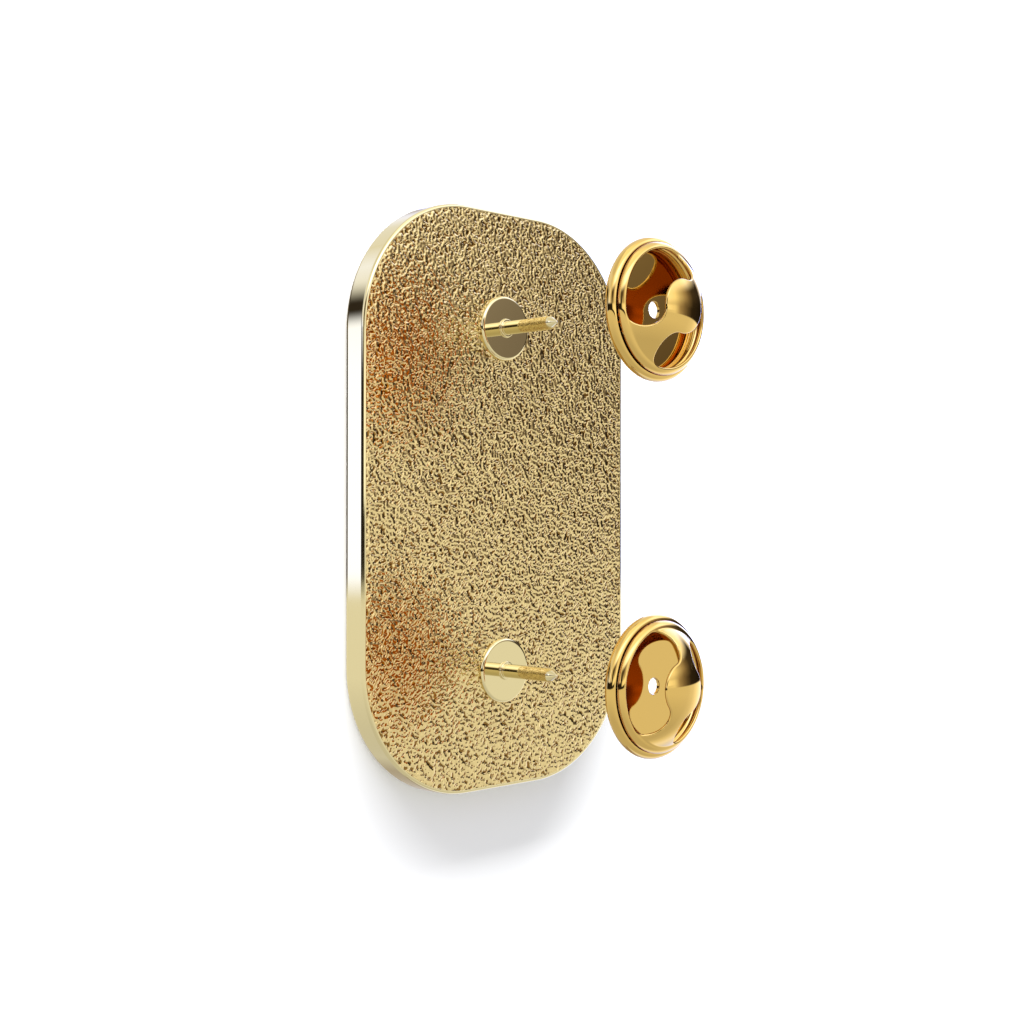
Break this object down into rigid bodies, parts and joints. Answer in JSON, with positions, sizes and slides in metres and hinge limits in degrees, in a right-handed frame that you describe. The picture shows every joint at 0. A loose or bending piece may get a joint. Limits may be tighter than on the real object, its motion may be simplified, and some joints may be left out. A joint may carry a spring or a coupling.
{
  "type": "lapel pin with two butterfly clutches",
  "caption": "Gold lapel pin lying face down: thick rounded plate with soldered posts, and butterfly clutches drawn back along the posts.",
  "frame": {"origin": "middle of the pin's front face, on the surface that the pin lies on", "axes": "+Y along the plate towards the upper post, +Z out of the back the way the posts point, +X across the plate"},
  "size_m": [0.0324, 0.0516, 0.0236],
  "materials": {
    "plate": "pale gold plating over a finely pebbled back, polished edge and posts",
    "clutch": "polished yellow gold plating over pressed sheet"
  },
  "bodies": {
    "pin": {"plate_with_posts": "plate"},
    "upper_clutch": {"upper_clutch_base": "clutch", "upper_clutch_cap": "clutch"},
    "lower_clutch": {"lower_clutch_base": "clutch", "lower_clutch_cap": "clutch"}
  },
  "joints": [
    {"name": "upper_clutch_slide", "type": "slide", "parent": "pin", "child": "upper_clutch", "axis": [0, 0, 1], "range_m": [-0.0136, 0]},
    {"name": "lower_clutch_slide", "type": "slide", "parent": "pin", "child": "lower_clutch", "axis": [0, 0, 1], "range_m": [-0.0136, 0]}
  ]
}
